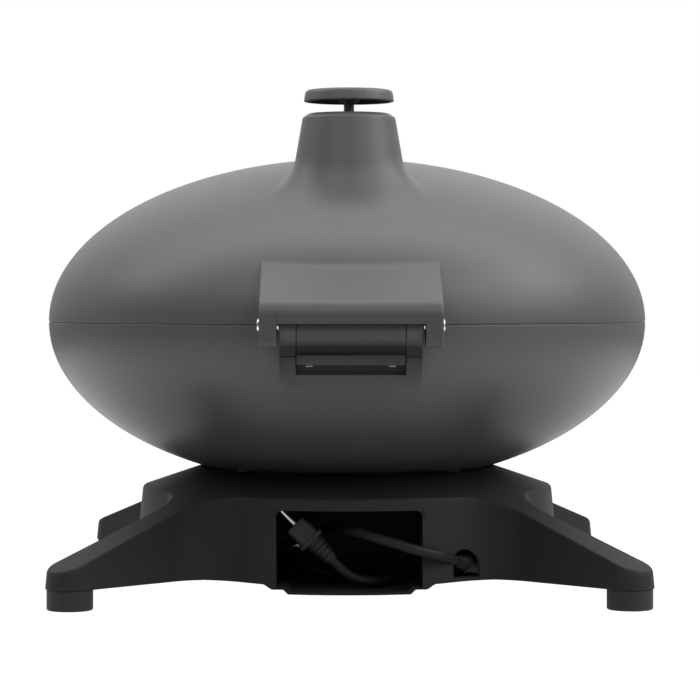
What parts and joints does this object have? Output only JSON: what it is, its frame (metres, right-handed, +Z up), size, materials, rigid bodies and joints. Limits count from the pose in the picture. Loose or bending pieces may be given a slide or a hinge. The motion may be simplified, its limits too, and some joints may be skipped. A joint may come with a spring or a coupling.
{
  "type": "electric grill",
  "caption": "Ball-shaped tabletop electric grill with a rear-hinged domed lid, flue with sliding damper cap, legged base with drip tray, control knob and cord compartment.",
  "frame": {"origin": "on the table plane, under the vertical axis of lid and bowl", "axes": "+Z up, +Y towards the rear with hinge and flue, -Y towards the front with handle and drip tray, +X to the grill's left as its user faces it from the rear"},
  "size_m": [0.5599, 0.6454, 0.4521],
  "materials": {
    "body_paint": "satin warm grey",
    "hinge_metal": "satin dark",
    "polished_steel": "polished",
    "plain_steel": "plain",
    "grate_iron": "enamelled",
    "element_steel": "heat-darkened",
    "base_plastic": "fine texture",
    "foot_rubber": "matte",
    "cord_rubber": "matte",
    "plug_plastic": "satin",
    "insulator": "plain",
    "wire_sleeve": "woven sleeve",
    "lens": "translucent"
  },
  "bodies": {
    "base": {"bowl_shell": "body_paint", "hinge_bracket": "hinge_metal", "hinge_block": "hinge_metal", "drain_collar": "hinge_metal", "hinge_screws": "polished_steel", "plug_pins": "polished_steel", "hinge_bush_left": "plain_steel", "hinge_bush_right": "plain_steel", "reflector": "plain_steel", "element_posts": "plain_steel", "bowl_screws": "plain_steel", "foot_screws": "plain_steel", "cover_screws": "plain_steel", "runner_left": "plain_steel", "runner_right": "plain_steel", "dial_plate": "plain_steel", "grate_left": "grate_iron", "grate_right": "grate_iron", "heating_element": "element_steel", "base_shell": "base_plastic", "underside_cover": "base_plastic", "cord_tub": "base_plastic", "coil_tie": "base_plastic", "foot_front_left": "foot_rubber", "foot_front_right": "foot_rubber", "foot_rear_left": "foot_rubber", "foot_rear_right": "foot_rubber", "bowl_pads": "foot_rubber", "cord_gland": "cord_rubber", "cord_rear": "cord_rubber", "cord_coil": "cord_rubber", "cord_front": "cord_rubber", "mains_lead": "cord_rubber", "plug_body": "plug_plastic", "element_bushes": "insulator", "terminal_block": "insulator", "thermostat": "insulator", "wiring_loom": "wire_sleeve", "pilot_lens": "lens"},
    "lid": {"lid_shell": "body_paint", "lid_flue": "body_paint", "lid_hinge_cover": "body_paint", "hinge_pin_left": "polished_steel", "hinge_pin_right": "polished_steel", "handle_grip": "base_plastic", "handle_post_left": "hinge_metal", "handle_post_right": "hinge_metal", "damper_guide": "hinge_metal"},
    "damper": {"damper_cap": "body_paint", "damper_stem": "hinge_metal", "damper_clip": "plain_steel"},
    "tray": {"drip_tray": "plain_steel"},
    "knob": {"control_knob": "base_plastic", "knob_spindle": "plain_steel"}
  },
  "joints": [
    {"name": "lid_hinge", "type": "hinge", "parent": "base", "child": "lid", "pos_m": [0, 0.3, 0.245], "axis": [-1, 0, 0], "range_deg": [0, 95]},
    {"name": "damper_slide", "type": "slide", "parent": "lid", "child": "damper", "axis": [0, 0, -1], "range_m": [0, 0.01]},
    {"name": "tray_slide", "type": "slide", "parent": "base", "child": "tray", "axis": [0, -1, 0], "range_m": [0, 0.15]},
    {"name": "knob_turn", "type": "hinge", "parent": "base", "child": "knob", "pos_m": [0.08767, -0.17976, 0.055], "axis": [0.4384, -0.8988, 0], "range_deg": [0, 270]}
  ]
}
